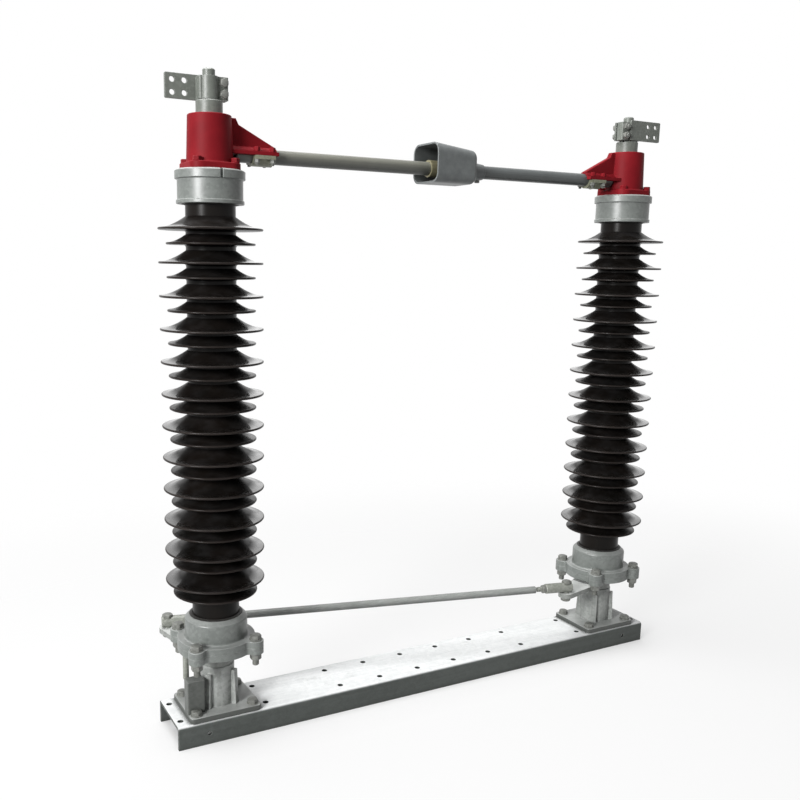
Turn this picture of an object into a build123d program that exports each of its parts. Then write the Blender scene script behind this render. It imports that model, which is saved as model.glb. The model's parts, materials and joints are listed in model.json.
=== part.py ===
from build123d import *
import os

# A centre-break disconnector for one phase of an outdoor substation.
# Two insulator columns turn in bearings on a channel base and each carries one half of the current path.
# A cross link between two cranks makes the columns turn opposite ways, so both halves swing to the front.
# The frame stands on the channel's underside, X runs along the channel and the halves meet at X = 0.

# Fits
running_gap = 0.3
seat_gap = 0.2
cut_overrun = 2.0

# Base channel, open side down
column_spacing = 1200.0
channel_length = 1440.0
channel_width = 156.0
channel_height = 56.0
channel_wall = 7.0
channel_corner_radius = 9.0
channel_root_radius = 4.0
web_hole_diameter = 14.0
web_hole_row_spacing = 92.0
middle_hole_pitch = 115.0
middle_hole_pairs = 6
inner_hole_offset = 108.0
end_hole_margin = 14.0
flange_hole_diameter = 10.0
flange_hole_offset = 45.0
flange_hole_height = 27.0

# Bearing housings
base_plate_length = 176.0
base_plate_width = 148.0
base_plate_thickness = 12.0
base_plate_corner = 10.0
base_plate_edge = 2.0
barrel_diameter = 84.0
barrel_height = 100.0
barrel_rim_radius = 3.0
rib_reach = 54.0
rib_top_reach = 50.0
rib_height = 84.0
rib_thickness = 16.0
bearing_floor = 14.0

# End stop of the left column
stop_block_length = 42.0
stop_block_depth = 30.0
stop_block_height = 82.0
stop_block_corner = 3.0
stop_block_setback = 20.0
stop_pin_diameter = 14.0
stop_pin_radius = 80.0
stop_pin_angle = 187.0
stop_pin_length = 62.0

# Cranks and turning plates
shaft_diameter = 48.0
neck_diameter = 80.0
neck_height = 36.0
lever_radius = 190.0
lever_angle = 111.0
lever_thickness = 13.0
lever_drop = 7.0
lever_root_diameter = 92.0
lever_eye_diameter = 42.0
turning_plate_thickness = 16.0
flange_diameter = 184.0
flange_edge_radius = 1.5
bolt_circle_diameter = 204.0
ear_diameter = 38.0
ear_root_radius = 10.0
ear_count = 4
ear_start_angle = 45.0

# Insulator columns
bottom_flange_thickness = 16.0
collar_diameter = 148.0
collar_root_radius = 5.0
collar_height = 46.0
collar_cone_height = 10.0
collar_shoulder_radius = 5.0
collar_mouth_diameter = 128.0
socket_depth = 34.0
core_diameter = 110.0
insulator_height = 941.0
large_shed_diameter = 230.0
small_shed_diameter = 196.0
shed_pitch = 72.7
small_shed_drop = 31.6
top_shed_drop = 53.0
bottom_shed_clearance = 20.0
shed_rim_thickness = 5.0
large_shed_rise = 27.0
small_shed_rise = 20.0
shed_knee_radius_share = 0.42
shed_knee_rise_share = 0.38

# Top fittings
cap_diameter = 143.0
cap_lip_diameter = 148.0
cap_lip_height = 8.0
cap_height = 72.0
cap_rim_diameter = 153.0
cap_rim_height = 17.0
cap_rim_drop = 3.0
cap_edge_radius = 1.2
cap_notch_width = 6.0
cap_notch_depth = 10.0

# Heads with their blade arms
head_flange_width = 114.0
head_flange_corner = 25.0
head_flange_thickness = 14.0
head_bottom_diameter = 102.0
head_top_diameter = 95.0
head_height = 114.0
head_rim_radius = 2.5
head_root_radius = 3.0
arm_web_thickness = 16.0
arm_ledge_reach = 58.0
arm_ledge_drop = 2.0
arm_step = 13.0
arm_reach = 150.0
arm_edge_radius = 3.0
saddle_width = 60.0
saddle_thickness = 4.0
saddle_ear_thickness = 8.0
saddle_root_radius = 2.0
blade_height = 36.0

# Blades and blade clamps
blade_diameter = 32.0
blade_wall = 4.0
blade_start = 58.0
clamp_setback = 8.0
clamp_length = 48.0
clamp_thickness = 6.0

# Centre contact: setbacks stop short of the middle of the switch and overruns pass it
left_blade_setback = 20.0
right_blade_setback = 48.0
contact_sleeve_diameter = 41.0
contact_sleeve_lap = 24.0
contact_sleeve_length = 44.0
contact_palm_width = 44.0
contact_palm_thickness = 14.0
contact_palm_overrun = 25.0
finger_gap = 0.5
finger_pitch = 16.0
finger_width = 12.0
finger_thickness = 8.0
finger_setback = 8.0
finger_tip_lift = 4.0
finger_tip_length = 12.0
carrier_width = 52.0
carrier_setback = 31.0
carrier_sleeve_diameter = 40.0
carrier_sleeve_setback = 43.0

# Contact hood
hood_setback = 70.0
hood_overrun = 50.0
hood_wall = 4.0
hood_mouth_width = 114.0
hood_mouth_height = 94.0
hood_mouth_corner = 24.0
hood_back_width = 104.0
hood_back_height = 80.0
hood_back_corner = 22.0
hood_back_radius = 12.0
hood_rise = 12.5
hood_sleeve_length = 46.0
hood_sleeve_root_diameter = 50.0
hood_sleeve_tip_diameter = 38.0

# Cross link
link_height = 15.0
link_diameter = 20.0
link_wall = 3.5
rod_end_diameter = 28.0
rod_end_overhang = 15.0
rod_end_length = 82.0
rod_end_edge = 2.0
link_pin_diameter = 16.0
link_pin_drop = 12.0
link_pin_rise = 5.0
link_stud_diameter = 14.0
link_stud_length = 24.0
link_stud_gap = 7.0

# Terminals
terminal_spigot_diameter = 40.0
terminal_spigot_depth = 30.0
terminal_stem_diameter = 58.0
terminal_stem_height = 29.0
terminal_stem_edge = 2.0
terminal_stud_diameter = 27.0
terminal_stud_height = 65.0
terminal_stud_edge = 2.5
terminal_clamp_inner_reach = 41.0
terminal_clamp_outer_reach = 24.0
terminal_clamp_front = 10.0
terminal_clamp_back = 22.0
terminal_boss_diameter = 41.0
terminal_boss_root = 4.0
terminal_clamp_height = 47.0
terminal_clamp_lift = 2.0
terminal_clamp_slot = 5.0
terminal_clamp_corner = 4.0
terminal_pad_reach = 90.0
terminal_pad_inner_reach = -16.0
terminal_pad_height = 52.0
terminal_pad_thickness = 6.0
terminal_pad_lift = 2.0
terminal_pad_corner = 3.0
terminal_hole_diameter = 12.0
terminal_hole_spacing_x = 27.0
terminal_hole_spacing_z = 26.0
terminal_hole_margin = 16.0

# Levels, worked out upwards from the channel's underside
base_plate_top = channel_height + base_plate_thickness
barrel_top = base_plate_top + barrel_height
shaft_bottom = base_plate_top + bearing_floor
neck_bottom = barrel_top + running_gap
neck_top = neck_bottom + neck_height
lever_top = neck_top - lever_drop
turning_plate_top = neck_top + turning_plate_thickness
bottom_flange_top = turning_plate_top + bottom_flange_thickness
collar_top = bottom_flange_top + collar_height
collar_mouth_level = collar_top + collar_cone_height
insulator_bottom = collar_mouth_level - socket_depth
cap_bottom = collar_mouth_level + insulator_height
insulator_top = cap_bottom + socket_depth
top_shed_level = cap_bottom - top_shed_drop
shed_room = insulator_height - top_shed_drop - small_shed_drop - bottom_shed_clearance
shed_pairs = 1 + int(shed_room // shed_pitch)
cap_top = cap_bottom + cap_height
head_flange_top = cap_top + head_flange_thickness
head_top = cap_top + head_height
blade_level = cap_top + blade_height
hood_level = blade_level + hood_rise
hood_back_level = hood_level - (hood_mouth_height - hood_back_height) / 2
link_level = lever_top + link_height
stem_bottom = head_top + running_gap
stem_top = stem_bottom + terminal_stem_height
terminal_clamp_bottom = stem_top + terminal_clamp_lift
terminal_pad_bottom = stem_top + terminal_pad_lift

# Reaches, measured from a column's axis towards the middle of the switch
column_half = column_spacing / 2
clamp_start = arm_reach - clamp_setback - clamp_length
left_blade_reach = column_half - left_blade_setback
right_blade_reach = column_half - right_blade_setback
contact_sleeve_start = left_blade_reach - contact_sleeve_lap
contact_sleeve_end = contact_sleeve_start + contact_sleeve_length
contact_palm_end = column_half + contact_palm_overrun
carrier_end = column_half - carrier_setback
carrier_sleeve_end = column_half - carrier_sleeve_setback
finger_end = column_half - finger_setback
hood_start = column_half - hood_setback
hood_mouth = column_half + hood_overrun

# Column frames: each stands on its axis with X pointing at the middle of the switch
columns = {
    "left": Plane((-column_half, 0, 0), x_dir=(1, 0, 0), z_dir=(0, 0, 1)),
    "right": Plane((column_half, 0, 0), x_dir=(-1, 0, 0), z_dir=(0, 0, 1)),
}
quarter_turn = 90.0
lever_angles = {"left": lever_angle, "right": lever_angle - quarter_turn}

os.makedirs("parts", exist_ok=True)


# Names a finished piece and writes its file
def keep(builder, name):
    builder.part.label = name
    export_step(builder.part, f"parts/{name}.step")


# The vertical plane through a column's axis, with heights along its own Y
def upright(column):
    return Plane(column.origin, x_dir=column.x_dir, z_dir=-column.y_dir)


# The plane across a blade at a distance from the column's axis, centred on the blade
def across(column, distance, level):
    centre = column.origin + column.x_dir * distance + column.z_dir * level
    return Plane(centre, x_dir=column.y_dir, z_dir=column.x_dir)


def axis_of(column):
    return Axis(column.origin, column.z_dir)


# The corner of a sketch that lies nearest to a place
def corner_near(outline, across_sketch, up_sketch):
    return outline.vertices().sort_by_distance((across_sketch, up_sketch, 0))[0]


# The bolted outline shared by a turning plate and the insulator's bottom flange
def eared_disc(outline):
    bolt_radius = bolt_circle_diameter / 2
    flange_radius = flange_diameter / 2
    Circle(flange_radius)
    with PolarLocations(bolt_radius / 2, ear_count, start_angle=ear_start_angle):
        Rectangle(bolt_radius, ear_diameter)
    with PolarLocations(bolt_radius, ear_count, start_angle=ear_start_angle):
        Circle(ear_diameter / 2)
    root_reach = (flange_radius**2 - (ear_diameter / 2) ** 2) ** 0.5
    ear_roots = []
    for turn in range(ear_count):
        ear = Plane.XY.rotated((0, 0, ear_start_angle + turn * quarter_turn))
        for edge in (-ear_diameter / 2, ear_diameter / 2):
            root = ear.from_local_coords(Vector(root_reach, edge, 0))
            ear_roots.append(corner_near(outline, root.X, root.Y))
    fillet(ear_roots, ear_root_radius)


# Base channel with its rows of fixing holes
with BuildPart() as base_channel:
    with BuildSketch(Plane.YZ) as channel_section:
        Rectangle(channel_width, channel_height, align=(Align.CENTER, Align.MIN))
        fillet(channel_section.vertices().group_by(Axis.Y)[-1], channel_corner_radius)
        with BuildSketch(mode=Mode.PRIVATE) as channel_hollow:
            hollow_width = channel_width - 2 * channel_wall
            Rectangle(hollow_width, channel_height - channel_wall, align=(Align.CENTER, Align.MIN))
            fillet(channel_hollow.vertices().group_by(Axis.Y)[-1], channel_root_radius)
        add(channel_hollow.sketch, mode=Mode.SUBTRACT)
    extrude(amount=channel_length / 2, both=True)
    inner_hole_spacing = column_spacing - 2 * inner_hole_offset
    end_hole_spacing = channel_length - 2 * end_hole_margin
    with BuildSketch(Plane.XY.offset(channel_height)):
        with GridLocations(middle_hole_pitch, web_hole_row_spacing, middle_hole_pairs, 2):
            Circle(web_hole_diameter / 2)
        with GridLocations(inner_hole_spacing, web_hole_row_spacing, 2, 2):
            Circle(web_hole_diameter / 2)
        with GridLocations(end_hole_spacing, web_hole_row_spacing, 2, 2):
            Circle(web_hole_diameter / 2)
    extrude(amount=-channel_wall - cut_overrun, mode=Mode.SUBTRACT)
    flange_hole_spacing = column_spacing + 2 * flange_hole_offset
    with BuildSketch(Plane.XZ):
        with Locations((0, flange_hole_height)):
            with GridLocations(flange_hole_spacing, 0, 2, 1):
                Circle(flange_hole_diameter / 2)
    extrude(amount=channel_width / 2 + cut_overrun, both=True, mode=Mode.SUBTRACT)
keep(base_channel, "base_channel")


# A bearing housing: base plate, barrel with four diagonal ribs, and the shaft's bore
def build_bearing_housing(side, column):
    with BuildPart() as housing:
        with BuildSketch(column.offset(channel_height)):
            RectangleRounded(base_plate_length, base_plate_width, base_plate_corner)
        extrude(amount=base_plate_thickness)
        fillet(housing.edges().group_by(Axis.Z)[-1], base_plate_edge)
        with BuildSketch(column.offset(base_plate_top)):
            Circle(barrel_diameter / 2)
        extrude(amount=barrel_height)
        fillet(housing.edges().group_by(Axis.Z)[-1], barrel_rim_radius)
        for turn in range(ear_count):
            angle = ear_start_angle + turn * quarter_turn
            with BuildSketch(upright(column.rotated((0, 0, angle)))):
                with BuildLine():
                    Polyline(
                        (0, base_plate_top),
                        (rib_reach, base_plate_top),
                        (rib_top_reach, base_plate_top + rib_height),
                        (0, base_plate_top + rib_height),
                        close=True,
                    )
                make_face()
            extrude(amount=rib_thickness / 2, both=True)
        with BuildSketch(column.offset(shaft_bottom - running_gap)):
            Circle(shaft_diameter / 2 + running_gap)
        extrude(amount=barrel_top - shaft_bottom + cut_overrun, mode=Mode.SUBTRACT)
    keep(housing, f"{side}_bearing_housing")


# The fixed stop that the left column's pin meets when the switch is closed
with BuildPart() as stop_block:
    stop_block_centre = (
        -base_plate_length / 2 + stop_block_length / 2,
        -stop_block_setback - stop_block_depth / 2,
    )
    with BuildSketch(columns["left"].offset(base_plate_top)):
        with Locations(stop_block_centre):
            Rectangle(stop_block_length, stop_block_depth)
    extrude(amount=stop_block_height)
    fillet(stop_block.edges().filter_by(Axis.Z), stop_block_corner)
    chamfer(stop_block.edges().group_by(Axis.Z)[-1], stop_block_corner / 2)
keep(stop_block, "left_stop_block")


# A crank: shaft in the bearing, neck and the lever that the cross link is pinned to
def build_crank(side, column):
    with BuildPart() as crank:
        with BuildSketch(column.offset(shaft_bottom)):
            Circle(shaft_diameter / 2)
        extrude(amount=neck_bottom - shaft_bottom)
        with BuildSketch(column.offset(neck_bottom)):
            Circle(neck_diameter / 2)
        extrude(amount=neck_height)
        lever_plane = column.rotated((0, 0, lever_angles[side])).offset(lever_top - lever_thickness)
        with BuildSketch(lever_plane) as lever:
            Circle(lever_root_diameter / 2)
            with Locations((lever_radius, 0)):
                Circle(lever_eye_diameter / 2)
            make_hull(lever.edges())
            with Locations((lever_radius, 0)):
                Circle(link_pin_diameter / 2 + running_gap, mode=Mode.SUBTRACT)
        extrude(amount=lever_thickness)
    keep(crank, f"{side}_crank")


# A turning plate, bolted under the insulator's flange
def build_turning_plate(side, column):
    with BuildPart() as plate:
        with BuildSketch(column.offset(neck_top)) as outline:
            eared_disc(outline)
        extrude(amount=turning_plate_thickness)
        fillet(plate.edges().group_by(Axis.Z)[0], flange_edge_radius)
        fillet(plate.edges().group_by(Axis.Z)[-1], flange_edge_radius)
    keep(plate, f"{side}_turning_plate")


# The pin under the left turning plate
with BuildPart() as stop_pin:
    with BuildSketch(columns["left"].offset(neck_top)):
        with PolarLocations(stop_pin_radius, 1, start_angle=stop_pin_angle):
            Circle(stop_pin_diameter / 2)
    extrude(amount=-stop_pin_length)
keep(stop_pin, "left_stop_pin")


# The insulator's bottom fitting: eared flange and a collar that the porcelain is set in
def build_bottom_fitting(side, column):
    with BuildPart() as fitting:
        with BuildSketch(column.offset(turning_plate_top)) as outline:
            eared_disc(outline)
        extrude(amount=bottom_flange_thickness)
        fillet(fitting.edges().group_by(Axis.Z)[-1], flange_edge_radius)
        collar = collar_diameter / 2
        socket = core_diameter / 2 + seat_gap
        with BuildSketch(upright(column)) as profile:
            with BuildLine():
                Polyline(
                    (0, turning_plate_top),
                    (collar + 2 * collar_root_radius, turning_plate_top),
                    (collar + 2 * collar_root_radius, bottom_flange_top),
                    (collar, bottom_flange_top),
                    (collar, collar_top),
                    (collar_mouth_diameter / 2, collar_mouth_level),
                    (socket, collar_mouth_level),
                    (socket, insulator_bottom),
                    (0, insulator_bottom),
                    close=True,
                )
            make_face()
            fillet(corner_near(profile, collar, bottom_flange_top), collar_root_radius)
            fillet(corner_near(profile, collar, collar_top), collar_shoulder_radius)
        revolve(axis=axis_of(column))
    keep(fitting, f"{side}_bottom_fitting")


# One shed's outline from where it leaves the core to where its underside meets it again
def shed_points(rim_level, shed_diameter, rise):
    core = core_diameter / 2
    rim = shed_diameter / 2
    knee = core + (rim - core) * shed_knee_radius_share
    half_rim = shed_rim_thickness / 2
    return [
        (core, rim_level + rise),
        (knee, rim_level + half_rim + (rise - half_rim) * shed_knee_rise_share),
        (rim, rim_level + half_rim),
        (rim, rim_level - half_rim),
        (core, rim_level - half_rim),
    ]


# An insulator: the core with large and small sheds in turn
def build_insulator(side, column):
    outline = [(0, insulator_top), (core_diameter / 2, insulator_top)]
    for pair in range(shed_pairs):
        large_level = top_shed_level - pair * shed_pitch
        outline += shed_points(large_level, large_shed_diameter, large_shed_rise)
        outline += shed_points(large_level - small_shed_drop, small_shed_diameter, small_shed_rise)
    outline += [(core_diameter / 2, insulator_bottom), (0, insulator_bottom)]
    with BuildPart() as insulator:
        with BuildSketch(upright(column)):
            with BuildLine():
                Polyline(*outline, close=True)
            make_face()
        revolve(axis=axis_of(column))
    keep(insulator, f"{side}_insulator")


# The insulator's top fitting: a cap with a lower lip and a wider rim
def build_top_fitting(side, column):
    rim_top = cap_top - cap_rim_drop
    rim_bottom = rim_top - cap_rim_height
    socket = core_diameter / 2 + seat_gap
    with BuildPart() as fitting:
        with BuildSketch(upright(column)) as profile:
            with BuildLine():
                Polyline(
                    (socket, cap_bottom),
                    (cap_lip_diameter / 2, cap_bottom),
                    (cap_lip_diameter / 2, cap_bottom + cap_lip_height),
                    (cap_diameter / 2, cap_bottom + cap_lip_height),
                    (cap_diameter / 2, rim_bottom),
                    (cap_rim_diameter / 2, rim_bottom),
                    (cap_rim_diameter / 2, rim_top),
                    (cap_diameter / 2, cap_top),
                    (0, cap_top),
                    (0, insulator_top),
                    (socket, insulator_top),
                    close=True,
                )
            make_face()
            outer_corners = profile.vertices().filter_by(lambda corner: corner.X > socket + seat_gap)
            fillet(outer_corners, cap_edge_radius)
        revolve(axis=axis_of(column))
        with BuildSketch(column.offset(rim_bottom)):
            with Locations((0, -cap_rim_diameter / 2)):
                Rectangle(cap_notch_width, 2 * cap_notch_depth)
        extrude(amount=cap_top - rim_bottom + cut_overrun, mode=Mode.SUBTRACT)
    keep(fitting, f"{side}_top_fitting")


# Half of a blade's saddle, in the plane across the blade: a half ring with an ear on each side
def saddle_half(section, direction, ring_thickness, split_gap):
    saddle_radius = blade_diameter / 2 + ring_thickness
    ear_level = direction * saddle_ear_thickness
    ear_root = (saddle_radius**2 - saddle_ear_thickness**2) ** 0.5
    Circle(saddle_radius)
    with Locations((0, ear_level / 2)):
        Rectangle(saddle_width, saddle_ear_thickness)
    with Locations((0, direction * (split_gap - saddle_radius))):
        Rectangle(saddle_width, 2 * saddle_radius, mode=Mode.SUBTRACT)
    for place in (-ear_root, ear_root):
        fillet(corner_near(section, place, ear_level), saddle_root_radius)


# The gusset arm of a head: an upright web over the upper half of the blade's saddle
def build_arm(column):
    ledge_level = head_top - arm_ledge_drop
    saddle_top = blade_level + blade_diameter / 2 + saddle_thickness
    with BuildPart() as arm:
        with BuildSketch(upright(column)):
            with BuildLine():
                Polyline(
                    (0, ledge_level),
                    (arm_ledge_reach, ledge_level),
                    (arm_ledge_reach + arm_step / 2, ledge_level - arm_step),
                    (arm_reach, saddle_top),
                    (arm_reach, blade_level + saddle_ear_thickness),
                    (0, blade_level + saddle_ear_thickness),
                    close=True,
                )
            make_face()
        extrude(amount=arm_web_thickness / 2, both=True)
        fillet(arm.faces().filter_by(Axis.Y).edges(), arm_edge_radius)
        with BuildSketch(across(column, 0, blade_level)) as section:
            saddle_half(section, 1, saddle_thickness, seat_gap)
        extrude(amount=arm_reach)
    return arm.part


# A cast head: flange, tapered barrel and the gusset arm that the blade lies under
def build_head(side, column):
    arm = build_arm(column)
    with BuildPart() as head:
        with BuildSketch(column.offset(cap_top)):
            RectangleRounded(head_flange_width, head_flange_width, head_flange_corner)
        extrude(amount=head_flange_thickness)
        fillet(head.edges().group_by(Axis.Z)[-1], head_rim_radius)
        barrel_root = head_flange_width / 2 - head_rim_radius
        with BuildSketch(upright(column)) as profile:
            with BuildLine():
                Polyline(
                    (0, cap_top),
                    (barrel_root, cap_top),
                    (barrel_root, head_flange_top),
                    (head_bottom_diameter / 2, head_flange_top),
                    (head_top_diameter / 2, head_top),
                    (0, head_top),
                    close=True,
                )
            make_face()
            fillet(corner_near(profile, head_bottom_diameter / 2, head_flange_top), head_root_radius)
            fillet(corner_near(profile, head_top_diameter / 2, head_top), head_rim_radius)
        revolve(axis=axis_of(column))
        add(arm)
        with BuildSketch(across(column, blade_start - seat_gap, blade_level)):
            Circle(blade_diameter / 2 + seat_gap)
        extrude(amount=arm_reach, mode=Mode.SUBTRACT)
        with BuildSketch(column.offset(head_top)):
            Circle(terminal_spigot_diameter / 2 + running_gap)
        extrude(amount=-terminal_spigot_depth - running_gap, mode=Mode.SUBTRACT)
    keep(head, f"{side}_head")


# The lower half of a blade's saddle clamp
def build_blade_clamp(side, column):
    with BuildPart() as clamp:
        with BuildSketch(across(column, clamp_start, blade_level)) as section:
            saddle_half(section, -1, clamp_thickness, 0)
            Circle(blade_diameter / 2 + seat_gap, mode=Mode.SUBTRACT)
        extrude(amount=clamp_length)
    keep(clamp, f"{side}_blade_clamp")


# A blade: the tube that carries the current to the middle
def build_blade(side, column, reach):
    with BuildPart() as blade:
        with BuildSketch(across(column, blade_start, blade_level)):
            Circle(blade_diameter / 2)
            Circle(blade_diameter / 2 - blade_wall, mode=Mode.SUBTRACT)
        extrude(amount=reach - blade_start)
    keep(blade, f"{side}_blade")


# The left blade's contact: a sleeve on the tube and a flat palm with a round end
with BuildPart() as left_contact:
    with BuildSketch(across(columns["left"], contact_sleeve_start, blade_level)):
        Circle(contact_sleeve_diameter / 2)
    extrude(amount=contact_sleeve_end - contact_sleeve_start)
    palm_length = contact_palm_end - left_blade_reach
    palm_plane = columns["left"].offset(blade_level - contact_palm_thickness / 2)
    with BuildSketch(palm_plane):
        with Locations((left_blade_reach + palm_length / 2, 0)):
            SlotOverall(palm_length, contact_palm_width)
    extrude(amount=contact_palm_thickness)
    with BuildSketch(across(columns["left"], contact_sleeve_start, blade_level)):
        Circle(blade_diameter / 2 + seat_gap)
    extrude(amount=left_blade_reach - contact_sleeve_start, mode=Mode.SUBTRACT)
keep(left_contact, "left_contact")

# The right blade's finger carrier: a sleeve on the tube and the tongue that the fingers are fixed to
finger_level = contact_palm_thickness / 2 + finger_gap
with BuildPart() as finger_carrier:
    carrier_start = hood_start + hood_wall
    with BuildSketch(across(columns["right"], carrier_start, blade_level)):
        Circle(carrier_sleeve_diameter / 2)
    extrude(amount=carrier_sleeve_end - carrier_start)
    with BuildSketch(across(columns["right"], carrier_start, blade_level)):
        Rectangle(carrier_width, 2 * finger_level)
    extrude(amount=carrier_end - carrier_start)
    with BuildSketch(across(columns["right"], carrier_start, blade_level)):
        Circle(blade_diameter / 2 + seat_gap)
    extrude(amount=right_blade_reach - carrier_start, mode=Mode.SUBTRACT)
keep(finger_carrier, "finger_carrier")


# A row of contact fingers above or below the palm, each with a tip that opens outwards
def build_fingers(name, direction):
    inner = blade_level + direction * finger_level
    outer = inner + direction * finger_thickness
    first = carrier_sleeve_end + seat_gap
    with BuildPart() as fingers:
        with BuildSketch(upright(columns["right"])):
            with BuildLine():
                Polyline(
                    (first, inner),
                    (finger_end - finger_tip_length, inner),
                    (finger_end, inner + direction * finger_tip_lift),
                    (finger_end, outer + direction * finger_tip_lift),
                    (finger_end - finger_tip_length, outer),
                    (first, outer),
                    close=True,
                )
            make_face()
        extrude(amount=finger_width / 2, both=True)
        lone_finger = fingers.part
        with Locations((0, finger_pitch, 0), (0, -finger_pitch, 0)):
            add(lone_finger)
    keep(fingers, name)


build_fingers("upper_fingers", 1)
build_fingers("lower_fingers", -1)

# The hood over the contact: a rounded shell that widens to its open mouth, with a sleeve on the blade
with BuildPart() as contact_hood:
    right = columns["right"]
    with BuildSketch(across(right, hood_start, hood_back_level)):
        RectangleRounded(hood_back_width, hood_back_height, hood_back_corner)
    with BuildSketch(across(right, hood_mouth, hood_level)):
        RectangleRounded(hood_mouth_width, hood_mouth_height, hood_mouth_corner)
    loft()
    fillet(contact_hood.faces().sort_by(Axis.X)[-1].edges(), hood_back_radius)
    with BuildSketch(across(right, hood_start + hood_wall, hood_back_level)):
        inner_width = hood_back_width - 2 * hood_wall
        inner_height = hood_back_height - 2 * hood_wall
        RectangleRounded(inner_width, inner_height, hood_back_corner - hood_wall)
    with BuildSketch(across(right, hood_mouth, hood_level)):
        inner_width = hood_mouth_width - 2 * hood_wall
        inner_height = hood_mouth_height - 2 * hood_wall
        RectangleRounded(inner_width, inner_height, hood_mouth_corner - hood_wall)
    loft(mode=Mode.SUBTRACT)
    inner_back = contact_hood.faces().filter_by(Axis.X).sort_by(Axis.X)[-2]
    fillet(inner_back.edges(), hood_back_radius - hood_wall)
    with BuildSketch(across(right, hood_start - hood_sleeve_length, blade_level)):
        Circle(hood_sleeve_tip_diameter / 2)
    with BuildSketch(across(right, hood_start, blade_level)):
        Circle(hood_sleeve_root_diameter / 2)
    loft()
    with BuildSketch(across(right, hood_start - hood_sleeve_length, blade_level)):
        Circle(blade_diameter / 2 + seat_gap)
    extrude(amount=hood_sleeve_length + hood_wall, mode=Mode.SUBTRACT)
keep(contact_hood, "contact_hood")


# The middle of a rod end, straight above its lever's eye
def lever_eye(side):
    lever_frame = columns[side].rotated((0, 0, lever_angles[side]))
    return lever_frame.from_local_coords(Vector(lever_radius, 0, link_level))


# The cross link, from the left lever's eye to the right one
left_eye = lever_eye("left")
right_eye = lever_eye("right")
link_direction = (right_eye - left_eye).normalized()
link_length = (right_eye - left_eye).length


# A rod end lying on a lever: sleeve along the rod and the pin through the lever's eye
def build_rod_end(name, eye, along, stud_length):
    with BuildPart() as rod_end:
        with BuildSketch(Plane(eye - along * rod_end_overhang, z_dir=along)):
            Circle(rod_end_diameter / 2)
        extrude(amount=rod_end_length)
        chamfer(rod_end.edges().filter_by(GeomType.CIRCLE), rod_end_edge)
        if stud_length:
            with BuildSketch(Plane(eye + along * (rod_end_length - rod_end_overhang), z_dir=along)):
                Circle(link_stud_diameter / 2)
            extrude(amount=stud_length)
        pin_bottom = lever_top - lever_thickness - link_pin_drop
        with BuildSketch(Plane(eye).offset(pin_bottom - link_level)):
            Circle(link_pin_diameter / 2)
        extrude(amount=link_level - pin_bottom + rod_end_diameter / 2 + link_pin_rise)
    keep(rod_end, name)


build_rod_end("left_rod_end", left_eye, link_direction, 0)
build_rod_end("right_rod_end", right_eye, -link_direction, link_stud_length)

# The rod's tube; the thread into the right rod end is left open so that the linkage is a tree
with BuildPart() as link_rod:
    left_sleeve = rod_end_length - rod_end_overhang
    right_sleeve = left_sleeve + link_stud_length + link_stud_gap
    with BuildSketch(Plane(left_eye + link_direction * left_sleeve, z_dir=link_direction)):
        Circle(link_diameter / 2)
        Circle(link_diameter / 2 - link_wall, mode=Mode.SUBTRACT)
    extrude(amount=link_length - left_sleeve - right_sleeve)
keep(link_rod, "link_rod")


# A terminal's turning stem: spigot in the head, stem and stud
def build_terminal_stem(side, column):
    with BuildPart() as stem:
        with BuildSketch(column.offset(stem_bottom)):
            Circle(terminal_stem_diameter / 2)
        extrude(amount=terminal_stem_height)
        chamfer(stem.edges().group_by(Axis.Z)[-1], terminal_stem_edge)
        with BuildSketch(column.offset(stem_bottom)):
            Circle(terminal_spigot_diameter / 2)
        extrude(amount=-terminal_spigot_depth)
        with BuildSketch(column.offset(stem_top)):
            Circle(terminal_stud_diameter / 2)
        extrude(amount=terminal_stud_height)
        chamfer(stem.edges().group_by(Axis.Z)[-1], terminal_stud_edge)
    keep(stem, f"{side}_terminal_stem")


# A terminal's clamp: a split block round the stud, with a round boss on its open side
def build_terminal_clamp(side, column):
    block_length = terminal_clamp_inner_reach + terminal_clamp_outer_reach
    block_depth = terminal_clamp_front + terminal_clamp_back
    block_centre = (
        (terminal_clamp_inner_reach - terminal_clamp_outer_reach) / 2,
        (terminal_clamp_back - terminal_clamp_front) / 2,
    )
    boss_root = ((terminal_boss_diameter / 2) ** 2 - terminal_clamp_front**2) ** 0.5
    with BuildPart() as clamp:
        with BuildSketch(column.offset(terminal_clamp_bottom)) as outline:
            with Locations(block_centre):
                RectangleRounded(block_length, block_depth, terminal_clamp_corner)
            Circle(terminal_boss_diameter / 2)
            fillet(corner_near(outline, boss_root, -terminal_clamp_front), terminal_boss_root)
            Circle(terminal_stud_diameter / 2 + seat_gap, mode=Mode.SUBTRACT)
            with Locations((terminal_clamp_inner_reach / 2, 0)):
                Rectangle(terminal_clamp_inner_reach, terminal_clamp_slot, mode=Mode.SUBTRACT)
        extrude(amount=terminal_clamp_height)
    keep(clamp, f"{side}_terminal_clamp")


# A terminal's pad: the flat bar behind the clamp, with four holes for the line connector
def build_terminal_pad(side, column):
    pad_length = terminal_pad_reach - terminal_pad_inner_reach
    pad_middle = terminal_pad_bottom + terminal_pad_height / 2
    hole_reach = terminal_pad_reach - terminal_hole_margin - terminal_hole_spacing_x / 2
    pad_seat = column.origin + column.y_dir * terminal_clamp_back
    with BuildPart() as pad:
        with BuildSketch(Plane(pad_seat, x_dir=-column.x_dir, z_dir=column.y_dir)):
            with Locations((terminal_pad_inner_reach + pad_length / 2, pad_middle)):
                RectangleRounded(pad_length, terminal_pad_height, terminal_pad_corner)
            with Locations((hole_reach, pad_middle)):
                with GridLocations(terminal_hole_spacing_x, terminal_hole_spacing_z, 2, 2):
                    Circle(terminal_hole_diameter / 2, mode=Mode.SUBTRACT)
        extrude(amount=terminal_pad_thickness)
    keep(pad, f"{side}_terminal_pad")


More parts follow.
